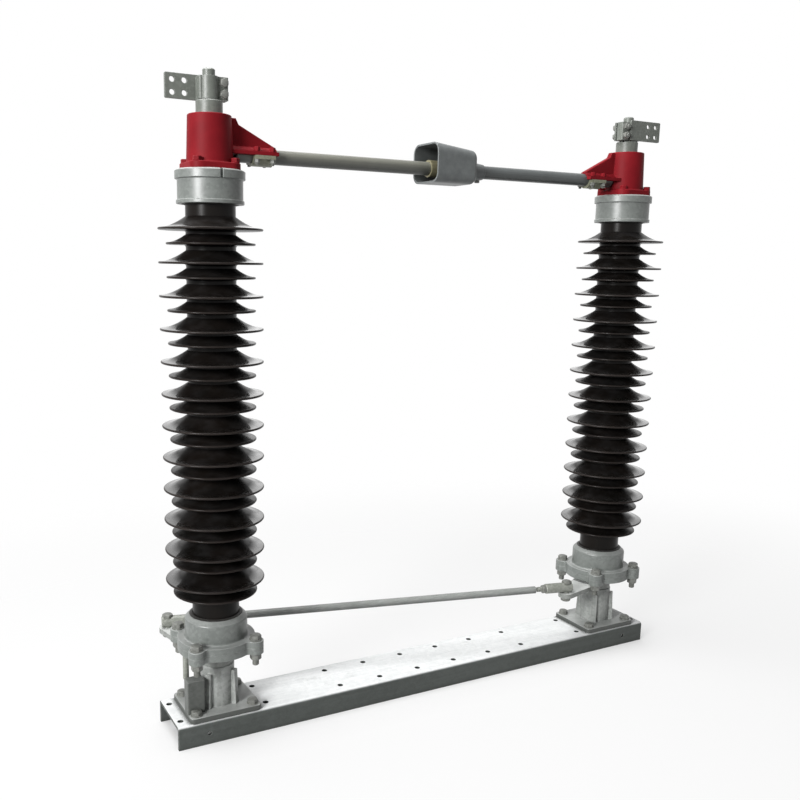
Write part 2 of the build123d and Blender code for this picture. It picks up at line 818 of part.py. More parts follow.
blade_reaches = {"left": left_blade_reach, "right": right_blade_reach}
for side, column in columns.items():
    build_bearing_housing(side, column)
    build_crank(side, column)
    build_turning_plate(side, column)
    build_bottom_fitting(side, column)
    build_insulator(side, column)
    build_top_fitting(side, column)
    build_head(side, column)
    build_blade_clamp(side, column)
    build_blade(side, column, blade_reaches[side])
    build_terminal_stem(side, column)
    build_terminal_clamp(side, column)
    build_terminal_pad(side, column)
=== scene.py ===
import json
from math import cos, pi, radians, sin, sqrt
import bmesh
import bpy
import numpy as np
from mathutils import Matrix, Vector


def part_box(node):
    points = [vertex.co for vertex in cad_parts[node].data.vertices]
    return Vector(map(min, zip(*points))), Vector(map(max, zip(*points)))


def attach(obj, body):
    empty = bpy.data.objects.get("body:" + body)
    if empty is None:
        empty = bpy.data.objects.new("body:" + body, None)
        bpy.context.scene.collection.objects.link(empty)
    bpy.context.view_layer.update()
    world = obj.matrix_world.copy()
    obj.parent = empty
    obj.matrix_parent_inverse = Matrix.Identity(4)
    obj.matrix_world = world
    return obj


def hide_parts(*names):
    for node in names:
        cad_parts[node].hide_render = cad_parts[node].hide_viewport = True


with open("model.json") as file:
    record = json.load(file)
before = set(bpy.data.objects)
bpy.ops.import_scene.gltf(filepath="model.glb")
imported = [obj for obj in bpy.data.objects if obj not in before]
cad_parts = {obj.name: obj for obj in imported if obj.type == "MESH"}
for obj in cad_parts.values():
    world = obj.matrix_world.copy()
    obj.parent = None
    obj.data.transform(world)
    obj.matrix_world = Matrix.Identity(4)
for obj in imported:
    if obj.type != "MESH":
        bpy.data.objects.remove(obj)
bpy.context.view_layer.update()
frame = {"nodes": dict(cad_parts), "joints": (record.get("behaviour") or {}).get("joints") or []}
nodes = frame["nodes"]

up = np.array([0.0, 0.0, 1.0])
sides = ("left", "right")
axisOf = {}  # where each column stands
towardMiddle = {"left": 1.0, "right": -1.0}  # along X; the right half is the left one turned half round
for side in sides:
    low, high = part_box(side + "_insulator")
    axisOf[side] = np.array([(low.x + high.x) / 2, (low.y + high.y) / 2, 0.0])


# Surfaces as grids: rows of points, each row a closed ring

# The corners of an outline eased by a parabola between points a set distance along each leg
def eased(outline, cut, steps=4, most=0.45):
    points = np.asarray(outline, float)
    before = points[:-2] - points[1:-1]
    after = points[2:] - points[1:-1]
    reachBefore = np.linalg.norm(before, axis=1, keepdims=True)
    reachAfter = np.linalg.norm(after, axis=1, keepdims=True)
    start = points[1:-1] + before / reachBefore * np.minimum(cut, reachBefore * most)
    end = points[1:-1] + after / reachAfter * np.minimum(cut, reachAfter * most)
    t = np.linspace(0, 1, steps)[None, :, None]
    bends = (1 - t) ** 2 * start[:, None] + 2 * t * (1 - t) * points[1:-1, None] + t ** 2 * end[:, None]
    return np.concatenate([points[:1], bends.reshape(-1, 2), points[-1:]])


# A turned surface: (radius, height) of the outline swept round the upright axis
def turned(outline, count=64):
    outline = np.asarray(outline, float)
    angle = np.linspace(0, 2 * pi, count, endpoint=False)
    ring = np.stack([np.cos(angle), np.sin(angle), np.zeros(count)], -1)
    return outline[:, None, :1] * ring + outline[:, None, 1:] * up


# A hexagonal bar: the flats' distance over the cosine to a flat's middle, cut by a cone at the eased ends
def hexBar(flats, height, easeLow, easeHigh, count=48, easeShare=0.09, crownShare=0.94):
    angle = np.linspace(0, 2 * pi, count, endpoint=False)
    lean = (angle + pi / 6) % (pi / 3) - pi / 6
    hexRadius = flats / 2 / np.cos(lean)
    ease = flats * easeShare
    low = np.linspace(0, ease, 4) if easeLow else np.array([0.0])
    high = np.linspace(height - ease, height, 4) if easeHigh else np.array([height])
    level = np.concatenate([low, high])[:, None]
    crown = flats / 2 * crownShare
    coneHigh = crown + (height - level) * sqrt(3) if easeHigh else np.full_like(level, flats)
    coneLow = crown + level * sqrt(3) if easeLow else np.full_like(level, flats)
    radius = np.minimum(hexRadius[None, :], np.minimum(coneHigh, coneLow))
    return np.stack([radius * np.cos(angle), radius * np.sin(angle), level + 0 * radius], -1)


# A threaded end: a triangle wave in height less turn, with the last turns cut to a cone
def threaded(diameter, length, pitch, count=20, rowsPerTurn=6, depth=0.55, tip=0.38):
    rows = max(8, int(length / pitch * rowsPerTurn))
    level = np.linspace(0, length, rows)[:, None]
    angle = np.linspace(0, 2 * pi, count, endpoint=False)[None, :]
    turn = (level / pitch - angle / (2 * pi)) % 1
    radius = diameter / 2 - pitch * depth * np.abs(2 * turn - 1)
    radius = np.minimum(radius, diameter * tip + (length - level))
    return np.stack([radius * np.cos(angle), radius * np.sin(angle), level + 0 * radius], -1)


# A flat washer, its section a rectangle with eased corners
def washer(inner, outer, thickness, easeShare=0.3, count=40):
    near, far = inner / 2, outer / 2
    section = [(near, 0), (far, 0), (far, thickness), (near, thickness), (near, 0)]
    return turned(eased(section, thickness * easeShare)[:-1], count)


# A section carried along a path: its two directions are the path's own across and up at each point
def carried(path, section):
    path = np.asarray(path, float)
    along = np.gradient(path, axis=0)
    along /= np.linalg.norm(along, axis=1, keepdims=True)
    across = np.cross(up, along)
    across /= np.linalg.norm(across, axis=1, keepdims=True)
    rise = np.cross(along, across)
    section = np.asarray(section, float)
    return path[:, None] + section[..., :1] * across[:, None] + section[..., 1:] * rise[:, None]


# A weld: a round section along the path, swelling with each ripple
def weld(path, radius, ripple=0.0032, swell=0.16, count=12):
    path = np.asarray(path, float)
    travelled = np.concatenate([[0], np.cumsum(np.linalg.norm(np.diff(path, axis=0), axis=1))])
    size = radius * (1 + swell * np.sin(2 * pi * travelled / ripple))[:, None, None]
    angle = np.linspace(0, 2 * pi, count, endpoint=False)
    ring = np.stack([np.cos(angle), np.sin(angle)], -1)[None]
    return carried(path, size * ring)


def circlePath(centre, radius, level, count=420):
    angle = np.linspace(0, 2 * pi, count)
    x = centre[0] + radius * np.cos(angle)
    y = centre[1] + radius * np.sin(angle)
    return np.stack([x, y, level + 0 * angle], -1)


# Copies of a grid, each with its own foot and its height laid along an axis
def placed(grid, feet, axes):
    copies = []
    for foot, axis in zip(feet, axes):
        turn = np.array(Vector(axis).to_track_quat("Z", "Y").to_matrix())
        copies.append(grid @ turn.T + np.asarray(foot, float))
    return np.stack(copies)


# Faces between each row and the next; an open grid gets a flat face on each end
def gridFaces(rows, ring, looped):
    row = np.arange(rows if looped else rows - 1)[:, None]
    place = np.arange(ring)[None, :]
    nextRow = (row + 1) % rows
    nextPlace = (place + 1) % ring
    quads = np.stack(np.broadcast_arrays(
        row * ring + place, row * ring + nextPlace, nextRow * ring + nextPlace, nextRow * ring + place), -1)
    ends = np.arange(ring)[::-1] + np.array([[0], [(rows - 1) * ring]])
    return quads.reshape(-1, 4), ends[:0] if looped else ends


# One piece from several grids; (grid, True) joins its last row to its first; marks are values a point
def addPiece(name, grids, finish, body, sharp=34, marks=None):
    points, faces, count = [], [], 0
    for grid, looped in grids:
        batch = grid.reshape((-1,) + grid.shape[-3:])
        copies, rows, ring = batch.shape[:3]
        offset = count + (np.arange(copies) * rows * ring)[:, None, None]
        for part in gridFaces(rows, ring, looped):
            faces += (part + offset).reshape(-1, part.shape[1]).tolist()
        points.append(batch.reshape(-1, 3))
        count += copies * rows * ring
    mesh = bpy.data.meshes.new(name)
    mesh.from_pydata(np.concatenate(points).tolist(), [], faces)
    for mark, values in (marks or {}).items():
        layer = mesh.attributes.new(mark, "FLOAT", "POINT")
        layer.data.foreach_set("value", values.astype(np.float32).ravel())
    shell = bmesh.new()
    shell.from_mesh(mesh)
    bmesh.ops.recalc_face_normals(shell, faces=shell.faces)
    shell.to_mesh(mesh)
    shell.free()
    mesh.shade_smooth()
    mesh.set_sharp_from_angle(angle=radians(sharp))
    mesh.materials.append(finish)
    piece = bpy.data.objects.new(name, mesh)
    bpy.context.scene.collection.objects.link(piece)
    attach(piece, body)
    return piece


# Shader values as Python sums

class Wire:  # one socket in a material's tree; arithmetic on it adds Math nodes
    def __init__(self, tree, socket):
        self.tree = tree
        self.socket = socket

    def node(self, kind, settings=None, sockets=None, out=0):
        made = self.tree.nodes.new(kind)
        for name, value in (settings or {}).items():
            setattr(made, name, value)
        for key, value in (sockets or {}).items():
            if isinstance(value, Wire):
                self.tree.links.new(value.socket, made.inputs[key])
            else:
                made.inputs[key].default_value = value
        return Wire(self.tree, made.outputs[out]) if made.outputs else None

    def maths(self, operation, first, second):
        return self.node("ShaderNodeMath", {"operation": operation}, {0: first, 1: second})

    def __add__(self, other):
        return self.maths("ADD", self, other)

    def __radd__(self, other):
        return self.maths("ADD", other, self)

    def __sub__(self, other):
        return self.maths("SUBTRACT", self, other)

    def __rsub__(self, other):
        return self.maths("SUBTRACT", other, self)

    def __mul__(self, other):
        return self.maths("MULTIPLY", self, other)

    def __rmul__(self, other):
        return self.maths("MULTIPLY", other, self)


def startFinish(name):
    material = bpy.data.materials.new(name)
    material.use_nodes = True
    material.node_tree.nodes.clear()
    place = material.node_tree.nodes.new("ShaderNodeTexCoord").outputs["Object"]
    return material, Wire(material.node_tree, place)


def stretched(place, scale):
    return place.node("ShaderNodeMapping", {"vector_type": "POINT"}, {"Vector": place, "Scale": scale})


def cloud(place, scale, detail=3.0, roughness=0.55):
    return place.node("ShaderNodeTexNoise", None,
                      {"Vector": place, "Scale": scale, "Detail": detail, "Roughness": roughness})


def step(value, low, high):
    return value.node("ShaderNodeMapRange", {"interpolation_type": "SMOOTHSTEP"},
                      {"Value": value, "From Min": low, "From Max": high})


def tint(share, first, second):
    return share.node("ShaderNodeMix", {"data_type": "RGBA"}, {0: share, 6: first, 7: second}, 2)


def grainOf(place, scale):  # one grey for each crystal
    sockets = {"Vector": place, "Scale": scale}
    cells = place.node("ShaderNodeTexVoronoi", {"feature": "F1"}, sockets, "Color")
    return place.node("ShaderNodeSeparateColor", None, {0: cells}, 0)


def marked(place, name):  # a value that the mesh carries
    return place.node("ShaderNodeAttribute", {"attribute_name": name}, None, "Fac")


def softEdge(place, radius):
    return place.node("ShaderNodeBevel", {"samples": 4}, {"Radius": radius})


def edgeWearAndSheen(place, radius):  # how far the eased normal leaves the true one
    true = place.node("ShaderNodeNewGeometry", None, None, "Normal")
    sockets = {0: softEdge(place, radius), 1: true}
    agree = place.node("ShaderNodeVectorMath", {"operation": "DOT_PRODUCT"}, sockets, "Value")
    return step(1 - agree, 0.02, 0.25)


def upward(place):  # how far a face looks up
    normal = place.node("ShaderNodeNewGeometry", None, None, "Normal")
    return place.node("ShaderNodeSeparateXYZ", None, {0: normal}, 2)


def levelOf(place):  # height above the floor
    return place.node("ShaderNodeSeparateXYZ", None, {0: place}, 2)


def openness(place, reach, samples=6):  # 1 in the open, less in corners and hollows
    return place.node("ShaderNodeAmbientOcclusion", {"samples": samples}, {"Distance": reach}, "AO")


# The shader of a finish: a bump over eased edges; an edge of 0 leaves them sharp
def dressed(material, place, base, rough, metallic, bump, strength, depth, edge, specular=0.5, more=None):
    height = {"Height": bump, "Strength": strength, "Distance": depth}
    if edge:
        height["Normal"] = softEdge(place, edge)
    normal = place.node("ShaderNodeBump", None, height)
    sockets = {"Base Color": base, "Roughness": rough, "Metallic": metallic, "Normal": normal,
               "Specular IOR Level": specular}
    sockets.update(more or {})
    shader = place.node("ShaderNodeBsdfPrincipled", None, sockets)
    place.node("ShaderNodeOutputMaterial", None, {"Surface": shader})
    return material


# Hot-dip zinc on rolled steel: crystals, rolling streaks along X, a pale top, sides painted dark as shade,
# painted shade in corners
def galvanisedChannel():
    look = {"topPale": (0.82, 0.83, 0.83, 1), "topDark": (0.66, 0.675, 0.675, 1),
            "shadedSidePale": (0.080, 0.088, 0.083, 1), "shadedSideDark": (0.052, 0.058, 0.054, 1),
            "stain": (0.30, 0.31, 0.30, 1), "edge": (0.62, 0.63, 0.62, 1), "cornerShade": (0.05, 0.055, 0.05, 1),
            "corner": 0.014, "topFrom": 0.044, "topFull": 0.048, "crystal": 95.0, "fineCrystal": 256.5,
            "metallic": 0.12}
    material, place = startFinish("galvanised_channel")
    crystals = grainOf(place, look["crystal"])
    fine = grainOf(place, look["fineCrystal"])
    streaks = cloud(stretched(place, (2.0, 60.0, 60.0)), 2.0, 4.0)
    clouds = cloud(place, 7.0, 5.0, 0.6)
    shade = step(crystals * 0.18 + fine * 0.10 + streaks * 0.45 + clouds * 0.37, 0.25, 0.85)
    top = tint(shade, look["topDark"], look["topPale"])
    stains = step(cloud(place, 23.0, 6.0, 0.65), 0.60, 0.72)
    top = tint(stains * 0.28, top, look["stain"])
    # painted shade: the sides take a far darker grey than the top, as shade falls on them
    side = tint(shade, look["shadedSideDark"], look["shadedSidePale"])
    onTop = step(upward(place), 0.45, 0.95) * step(levelOf(place), look["topFrom"], look["topFull"])
    base = tint(onTop, side, top)
    # rubbed edges, lightened also as a painted highlight
    base = tint(edgeWearAndSheen(place, 0.003) * 0.25, base, look["edge"])
    # painted shade: darker in corners and round the housing's plate, where little open space is round a point
    base = tint((1 - step(openness(place, look["corner"]), 0.6, 0.95)) * 0.85, base, look["cornerShade"])
    rough = 0.40 + crystals * 0.14 + clouds * 0.14
    bump = crystals * 0.35 + cloud(place, 420.0, 2.0) * 0.4 + streaks * 0.3
    return dressed(material, place, base, rough, look["metallic"], bump, 0.12, 0.0005, 0.0016, 0.3)


# Zinc on a casting: sand grain, soft runs downwards, a pale bloom on what looks up, grime in patches and,
# where a foot's height is given, painted shade below it
def castZinc(name, pale, dark, runs, grain=340.0, rough=0.32, specular=0.55, bloom=0.35, foot=None):
    look = {"bloom": (0.56, 0.575, 0.56, 1), "grime": (0.07, 0.075, 0.065, 1),
            "foot": (0.045, 0.049, 0.044, 1), "footBand": 0.002}
    material, place = startFinish(name)
    clouds = cloud(place, 11.0, 5.0, 0.6)
    drips = cloud(stretched(place, (38.0, 38.0, 3.0)), 1.0, 4.0)
    sand = cloud(place, grain, 3.0, 0.7)
    crystals = grainOf(place, 150.0)
    shade = clouds * 0.45 + drips * runs * 0.5 + crystals * 0.22
    base = tint(step(shade, 0.2, 0.85), dark, pale)
    base = tint(step(upward(place), 0.4, 0.95) * bloom, base, look["bloom"])
    base = tint(step(cloud(place, 31.0, 5.0, 0.62), 0.6, 0.76) * 0.3, base, look["grime"])
    # rubbed edges, lightened also as a painted highlight
    base = tint(edgeWearAndSheen(place, 0.0035) * 0.2, base, look["bloom"])
    # painted shade: all below the foot's height, the housing's base plate, is darkened
    if foot:
        band = look["footBand"]
        above = step(levelOf(place) - clouds * band, foot - band, foot)
        base = tint((1 - above) * 0.95, base, look["foot"])
    rough = rough + sand * 0.08 + clouds * 0.08
    bump = sand * 0.8 + cloud(place, 90.0, 2.0) * 0.5 + drips * 0.25
    return dressed(material, place, base, rough, 0.0, bump, 0.22, 0.0006, 0.0018, specular)


# Dark brown glaze: depth in the colour, thin brown rims, a little dust on what looks up, gloss on shed tops
def porcelainGlaze():
    look = {"deep": (0.0045, 0.0042, 0.0038, 1), "brown": (0.0095, 0.0072, 0.0060, 1),
            "rim": (0.024, 0.019, 0.017, 1), "dust": (0.10, 0.10, 0.105, 1)}
    material, place = startFinish("porcelain_glaze")
    clouds = cloud(place, 9.0, 4.0)
    flow = cloud(stretched(place, (14.0, 14.0, 5.0)), 1.0, 3.0)
    base = tint(step(clouds * 0.6 + flow * 0.4, 0.3, 0.75), look["deep"], look["brown"])
    base = tint(marked(place, "rim") * (0.35 + flow * 0.5), base, look["rim"])
    dust = step(upward(place), 0.2, 0.95) * step(cloud(place, 26.0, 5.0, 0.62), 0.36, 0.72)
    base = tint(dust * 0.07, base, look["dust"])
    rough = 0.24 + clouds * 0.08 + dust * 0.20
    bump = cloud(place, 60.0, 2.0) * 0.7 + flow * 0.6
    gloss = {"IOR": 1.54, "Coat Weight": marked(place, "tip"), "Coat Roughness": 0.08, "Coat IOR": 1.75}
    return dressed(material, place, base, rough, 0.0, bump, 0.06, 0.0006, 0, 0.09, gloss)


# Red enamel over a casting: orange peel, slightly faded upper faces, rubbed edges lightened also as a painted
# highlight, a few dark chips
def redEnamel(name):
    look = {"red": (0.190, 0.0095, 0.0140, 1), "deep": (0.150, 0.0072, 0.0110, 1),
            "fadedAndSheen": (0.215, 0.013, 0.019, 1), "chip": (0.045, 0.012, 0.012, 1)}
    material, place = startFinish(name)
    clouds = cloud(place, 16.0, 4.0)
    base = tint(step(clouds, 0.3, 0.72), look["deep"], look["red"])
    base = tint(step(upward(place), 0.5, 1.0) * 0.35, base, look["fadedAndSheen"])
    wearAndSheen = edgeWearAndSheen(place, 0.0028)
    # rubbed edges, lightened also as a painted highlight
    base = tint(wearAndSheen * 0.35, base, look["fadedAndSheen"])
    chips = step(cloud(place, 120.0, 3.0, 0.6), 0.66, 0.70) * wearAndSheen
    base = tint(chips * 0.9, base, look["chip"])
    peel = cloud(place, 260.0, 1.0)
    rough = 0.46 + clouds * 0.12 + chips * 0.3
    bump = peel * 0.8 + cloud(place, 45.0, 2.0) * 0.9
    return dressed(material, place, base, rough, 0.0, bump, 0.14, 0.0006, 0.0022, 0.07)


# Drawn metal: fine lines along its length, rubbed bands, dull spots, painted shade on the underside and
# inside
def drawnMetal(name, pale, dark, along, metallic=0.0, rough=0.34, specular=0.45, underside=0.0, edge=None,
               inside=0.0):
    look = {"shade": (0.03, 0.032, 0.03, 1), "hollow": 0.09}
    material, place = startFinish(name)
    lines = cloud(stretched(place, along), 1.0, 4.0, 0.65)
    clouds = cloud(place, 13.0, 5.0, 0.6)
    spots = step(cloud(place, 70.0, 4.0, 0.6), 0.6, 0.74)
    base = tint(step(lines * 0.55 + clouds * 0.45, 0.25, 0.78), dark, pale)
    base = tint(spots * 0.3, base, dark)
    # rubbed edges, tinted also as painted light towards the given edge colour
    base = tint(edgeWearAndSheen(place, 0.0022) * 0.5, base, edge or pale)
    # painted shade on faces that look down
    base = tint((1 - step(upward(place), -0.7, 0.5)) * underside, base, look["shade"])
    # painted shade in hollows, such as inside the hood
    if inside:
        base = tint((1 - step(openness(place, look["hollow"]), 0.15, 0.75)) * inside, base, look["shade"])
    rough = rough + lines * 0.12 + spots * 0.12
    bump = lines * 0.8 + spots * 0.2
    return dressed(material, place, base, rough, metallic, bump, 0.1, 0.0004, 0.001, specular)


# Plated steel of bolts and nuts: cloudy passivation, darker where the plating is thin
def platedSteel(name, pale, dark, metallic=0.1):
    material, place = startFinish(name)
    clouds = cloud(place, 120.0, 4.0, 0.6)
    base = tint(step(clouds, 0.15, 0.85), dark, pale)
    base = tint(step(cloud(place, 420.0, 3.0), 0.6, 0.7) * 0.25, base, dark)
    bump = cloud(place, 700.0, 2.0)
    return dressed(material, place, base, 0.34 + clouds * 0.2, metallic, bump, 0.1, 0.0003, 0)


# Bitumen over the cement between porcelain and metal: dark, brushed on, half matt
def bitumen():
    look = {"thick": (0.014, 0.013, 0.012, 1), "thin": (0.045, 0.043, 0.040, 1)}
    material, place = startFinish("bitumen")
    sand = cloud(place, 300.0, 4.0, 0.7)
    base = tint(sand, look["thick"], look["thin"])
    return dressed(material, place, base, 0.5 + sand * 0.2, 0.0, sand, 0.4, 0.0008, 0)


finishes = {
    "galvanised": galvanisedChannel(),
    "housing_grey": castZinc("housing_grey", (0.31, 0.323, 0.31, 1), (0.15, 0.158, 0.15, 1), 0.9,
                             bloom=0.42, foot=0.0675),
    "block_grey": castZinc("block_grey", (0.088, 0.094, 0.087, 1), (0.050, 0.054, 0.049, 1), 0.9,
                           specular=0.4, bloom=0.15),
    "fitting_grey": castZinc("fitting_grey", (0.190, 0.204, 0.193, 1), (0.112, 0.123, 0.115, 1), 0.5,
                             rough=0.29, specular=0.65),
    "zinc_steel": castZinc("zinc_steel", (0.27, 0.282, 0.265, 1), (0.14, 0.148, 0.14, 1), 0.7,
                           grain=420.0, bloom=0.9),
    "link_zinc": drawnMetal("link_zinc", (0.30, 0.312, 0.30, 1), (0.16, 0.17, 0.16, 1),
                            (3.0, 260.0, 260.0), rough=0.32, specular=0.5, underside=0.6),
    "rod_end_zinc": platedSteel("rod_end_zinc", (0.28, 0.29, 0.26, 1), (0.15, 0.158, 0.138, 1)),
    "porcelain_glaze": porcelainGlaze(),
    "red_paint": redEnamel("red_enamel"),
    "clamp_zinc": platedSteel("clamp_zinc", (0.25, 0.255, 0.18, 1), (0.11, 0.115, 0.08, 1)),
    # the same drawn aluminium twice: the right blade's copy is darker and bluer, painted shade
    "left_blade": drawnMetal("left_blade_aluminium", (0.165, 0.165, 0.137, 1), (0.09, 0.092, 0.078, 1),
                             (3.0, 320.0, 320.0), rough=0.30, specular=0.5, underside=0.75),
    "right_blade": drawnMetal("right_blade_aluminium_painted_shade", (0.105, 0.114, 0.114, 1), (0.06, 0.067, 0.067, 1),
                              (3.0, 320.0, 320.0), rough=0.30, specular=0.5, underside=0.55),
    # painted shade: the edges are tinted darker than the pale tone, against the lamp's highlight on the
    # chamfers
    "contact_bronze": drawnMetal("contact_bronze", (0.24, 0.22, 0.135, 1), (0.12, 0.11, 0.066, 1),
                                 (4.0, 200.0, 200.0), 0.2, edge=(0.16, 0.147, 0.09, 1)),
    # painted highlight: the hood's edges far paler than its faces; painted shade inside it
    "hood_grey": drawnMetal("hood_grey", (0.14, 0.151, 0.151, 1), (0.08, 0.087, 0.087, 1),
                            (60.0, 5.0, 60.0), edge=(0.50, 0.52, 0.52, 1), inside=0.8),
    "terminal_tin": castZinc("terminal_tin", (0.17, 0.182, 0.163, 1), (0.10, 0.11, 0.096, 1), 0.4,
                             grain=500.0, rough=0.36, specular=0.5, bloom=0.2),
}
boltSteel = platedSteel("bolt_zinc", (0.21, 0.215, 0.198, 1), (0.09, 0.093, 0.084, 1))
boltRed = redEnamel("bolt_red")
bitumenBlack = bitumen()

# Which finish each node takes, by the end of its name
slotOf = {
    "base_channel": "galvanised", "bearing_housing": "housing_grey", "stop_block": "block_grey",
    "crank": "zinc_steel", "turning_plate": "fitting_grey", "stop_pin": "rod_end_zinc",
    "bottom_fitting": "fitting_grey", "insulator": "porcelain_glaze", "top_fitting": "fitting_grey",
    "head": "red_paint", "blade_clamp": "clamp_zinc", "left_blade": "left_blade",
    "right_blade": "right_blade", "left_contact": "contact_bronze", "finger_carrier": "contact_bronze",
    "fingers": "contact_bronze", "contact_hood": "hood_grey", "rod_end": "rod_end_zinc",
    "link_rod": "link_zinc", "terminal_stem": "terminal_tin", "terminal_clamp": "terminal_tin",
    "terminal_pad": "terminal_tin",
}
for name, node in nodes.items():
    ending = max((end for end in slotOf if name.endswith(end)), key=len)
    for materialSlot in node.material_slots:
        materialSlot.material = finishes[slotOf[ending]]
print("finishes:", len(finishes) + 3, "materials on", len(nodes), "nodes")


# Insulators: a core with large and small sheds in turn, every edge round
porcelain = {"core": 0.055, "large": 0.115, "small": 0.098, "pairs": 12, "pitch": 0.0727,
             "smallDrop": 0.0316, "topDrop": 0.053, "socket": 0.034, "rim": 0.0025, "largeRise": 0.027,
             "smallRise": 0.020, "sag": 1.72, "throat": 0.006, "ring": 96, "sharp": 50,
             "largeGloss": 1.0, "smallGloss": 0.3, "glossFrom": 0.5, "glossRun": 0.3}


# One shed from the core out and back: a falling power of the share of its reach, a half-round rim, a flat
# underside and a round throat. Two more columns mark the brown rim and the glossy outer part of the top.
def shedOutline(level, reach, rise, gloss, p):
    share = np.linspace(0, 1, 15)
    span = reach - p["rim"] - p["core"]
    topRadius = p["core"] + span * share
    topHeight = level + p["rim"] + (rise - p["rim"]) * (1 - share) ** p["sag"]
    turn = np.linspace(pi / 2, -pi / 2, 9)[1:]
    noseRadius = p["core"] + span + p["rim"] * np.cos(turn)
    noseHeight = level + p["rim"] * np.sin(turn)
    bend = np.linspace(0, pi / 2, 6)
    throatRadius = p["core"] + p["throat"] * (1 - np.sin(bend))
    throatHeight = level - p["rim"] - p["throat"] * (1 - np.cos(bend))
    radius = np.concatenate([topRadius, noseRadius, throatRadius])
    height = np.concatenate([topHeight, noseHeight, throatHeight])
    rim = np.concatenate([0 * share[2:], [0.35, 1], np.ones(len(turn) - 1), [0.4], 0 * bend])
    tip = gloss * np.clip((share - p["glossFrom"]) / p["glossRun"], 0, 1)
    return np.stack([radius, height, rim, np.concatenate([tip, 0 * turn, 0 * bend])], -1)


def addInsulator(side, p):
    low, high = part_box(side + "_insulator")
    top = high.z - p["socket"] - p["topDrop"]
    outline = [np.array([[p["core"], high.z, 0.0, 0.0]])]
    for pair in range(p["pairs"]):
        level = top - pair * p["pitch"]
        outline.append(shedOutline(level, p["large"], p["largeRise"], p["largeGloss"], p))
        outline.append(shedOutline(level - p["smallDrop"], p["small"], p["smallRise"], p["smallGloss"], p))
    outline.append(np.array([[p["core"], low.z, 0.0, 0.0]]))
    outline = np.concatenate(outline)
    grid = turned(outline[:, :2], p["ring"]) + axisOf[side]
    marks = {"rim": np.repeat(outline[:, 2:3], p["ring"], axis=1),
             "tip": np.repeat(outline[:, 3:], p["ring"], axis=1)}
    piece = addPiece(side + "_porcelain", [(grid, False)], finishes["porcelain_glaze"], side + "_column",
                     p["sharp"], marks)
    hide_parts(side + "_insulator")


for side in sides:
    addInsulator(side, porcelain)
print("insulators done")


# Bitumen shows as a low rounded ring where the porcelain leaves each fitting
bitumenRing = {"inner": 0.0553, "outer": 0.0630, "height": 0.0030, "sunk": 0.0005, "ease": 0.0015, "ring": 72}


def addBitumen(side, p):
    bottom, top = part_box(side + "_bottom_fitting")[1].z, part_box(side + "_top_fitting")[0].z
    grids = []
    for level, direction in ((bottom, 1), (top, -1)):
        foot = level - direction * p["sunk"]
        crown = level + direction * p["height"]
        section = [(p["outer"], foot), (p["outer"], level), (p["inner"], crown), (p["inner"], foot),
                   (p["outer"], foot)]
        grids.append((turned(eased(section, p["ease"])[:-1], p["ring"]) + axisOf[side], True))
    addPiece(side + "_bitumen", grids, bitumenBlack, side + "_column")


for side in sides:
    addBitumen(side, bitumenRing)


# A bolt seen from its head: washer, hexagon and, past the far face, washer, nut and threaded tail
def boltSet(p, feet, axis, grip, tail=True):
    away = -np.asarray(axis, float)
    farFeet = [np.asarray(foot, float) + away * grip for foot in feet]
    axes = [axis] * len(feet)
    farAxes = [tuple(away)] * len(feet)
    flat = washer(p["hole"], p["washer"], p["washerThickness"])
    head = hexBar(p["flats"], p["head"], False, True) + up * p["washerThickness"]
    grids = [(placed(flat, feet, axes), True), (placed(head, feet, axes), False)]
    if tail:
        nut = hexBar(p["flats"], p["nut"], True, True) + up * p["washerThickness"]
        end = threaded(p["thread"], p["tail"], p["pitch"]) + up * p["washerThickness"]
        grids += [(placed(flat, farFeet, farAxes), True), (placed(nut, farFeet, farAxes), False),
                  (placed(end, farFeet, farAxes), False)]
    return grids


earBolt = {"circle": 0.102, "flange": 0.016, "plate": 0.016, "hole": 0.0165, "washer": 0.030,
           "washerThickness": 0.003, "flats": 0.024, "head": 0.010, "nut": 0.013, "thread": 0.016,
           "tail": 0.028, "pitch": 0.002}
baseBolt = {"reachX": 0.070, "reachY": 0.056, "plate": 0.012, "wall": 0.007, "hole": 0.0145,
            "washer": 0.028, "washerThickness": 0.0025, "flats": 0.022, "head": 0.009, "nut": 0.011,
            "thread": 0.014, "tail": 0.019, "pitch": 0.002}
headBolt = {"reach": 0.0425, "flange": 0.014, "hole": 0.0105, "washer": 0.0195, "washerThickness": 0.002,
            "flats": 0.0165, "head": 0.008}
saddleBolt = {"reaches": (0.0998, 0.1365), "offset": 0.0243, "ear": 0.008, "hole": 0.0085,
              "washer": 0.0118, "washerThickness": 0.0014, "flats": 0.0113, "head": 0.0085, "nut": 0.0070,
              "thread": 0.008, "tail": 0.0115, "pitch": 0.00125}
pinchBolt = {"reach": 0.0300, "rises": (0.012, 0.035), "front": 0.010, "back": 0.022, "hole": 0.0105,
             "washer": 0.019, "washerThickness": 0.002, "flats": 0.016, "head": 0.0064, "nut": 0.008,
             "thread": 0.010, "tail": 0.013, "pitch": 0.0015}


def corners(axis, reachX, reachY, level):
    return [axis + np.array([x * reachX, y * reachY, level]) for x in (-1, 1) for y in (-1, 1)]


